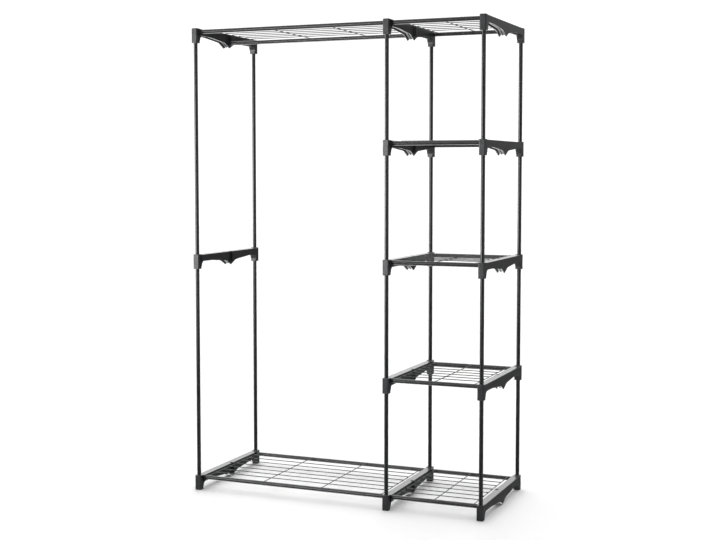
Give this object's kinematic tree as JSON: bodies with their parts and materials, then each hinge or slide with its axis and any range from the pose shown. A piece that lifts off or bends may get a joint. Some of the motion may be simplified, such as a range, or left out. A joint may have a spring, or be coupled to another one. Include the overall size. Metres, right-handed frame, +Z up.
{
  "type": "open frame wardrobe",
  "caption": "Free-standing open wardrobe frame of painted steel tubes in moulded end brackets, with a rod for hanging clothes beside a tower of wire shelves.",
  "frame": {"origin": "On the floor, under the middle of the frame: midway between the outer faces of the left and right brackets, and midway between front and back.", "axes": "+Z is up, the front faces -Y, and +X runs from the hanging bay to the shelf tower."},
  "size_m": [1.133, 0.486, 1.727],
  "materials": {
    "bracket_resin": "black moulded resin with a fine satin grain",
    "tube_paint": "semi-gloss black powder coat on steel tube",
    "wire_paint": "semi-gloss black powder coat on welded steel wire"
  },
  "bodies": {
    "frame": {"left_bottom_bracket": "bracket_resin", "left_level_2_bracket": "bracket_resin", "left_top_bracket": "bracket_resin", "centre_bottom_bracket": "bracket_resin", "centre_level_1_bracket": "bracket_resin", "centre_level_2_bracket": "bracket_resin", "centre_level_3_bracket": "bracket_resin", "centre_top_bracket": "bracket_resin", "right_bottom_bracket": "bracket_resin", "right_level_1_bracket": "bracket_resin", "right_level_2_bracket": "bracket_resin", "right_level_3_bracket": "bracket_resin", "right_top_bracket": "bracket_resin", "left_front_lower_post": "tube_paint", "left_front_upper_post": "tube_paint", "centre_front_post_1": "tube_paint", "centre_front_post_2": "tube_paint", "centre_front_post_3": "tube_paint", "centre_front_post_4": "tube_paint", "right_front_post_1": "tube_paint", "right_front_post_2": "tube_paint", "right_front_post_3": "tube_paint", "right_front_post_4": "tube_paint", "left_back_lower_post": "tube_paint", "left_back_upper_post": "tube_paint", "centre_back_post_1": "tube_paint", "centre_back_post_2": "tube_paint", "centre_back_post_3": "tube_paint", "centre_back_post_4": "tube_paint", "right_back_post_1": "tube_paint", "right_back_post_2": "tube_paint", "right_back_post_3": "tube_paint", "right_back_post_4": "tube_paint", "wide_bottom_front_rail": "tube_paint", "wide_bottom_back_rail": "tube_paint", "tower_bottom_front_rail": "tube_paint", "tower_bottom_back_rail": "tube_paint", "tower_level_1_front_rail": "tube_paint", "tower_level_1_back_rail": "tube_paint", "tower_level_2_front_rail": "tube_paint", "tower_level_2_back_rail": "tube_paint", "tower_level_3_front_rail": "tube_paint", "tower_level_3_back_rail": "tube_paint", "wide_top_front_rail": "tube_paint", "wide_top_back_rail": "tube_paint", "tower_top_front_rail": "tube_paint", "tower_top_back_rail": "tube_paint", "wide_bottom_wire_deck": "wire_paint", "tower_bottom_wire_deck": "wire_paint", "tower_level_1_wire_deck": "wire_paint", "tower_level_2_wire_deck": "wire_paint", "tower_level_3_wire_deck": "wire_paint", "wide_top_wire_deck": "wire_paint", "tower_top_wire_deck": "wire_paint"},
    "rod": {"hanging_rod": "tube_paint"}
  },
  "joints": [
    {"name": "rod_roll", "type": "hinge", "parent": "frame", "child": "rod", "pos_m": [-0.175, 0, 1.6925], "axis": [1, 0, 0], "continuous": true}
  ]
}
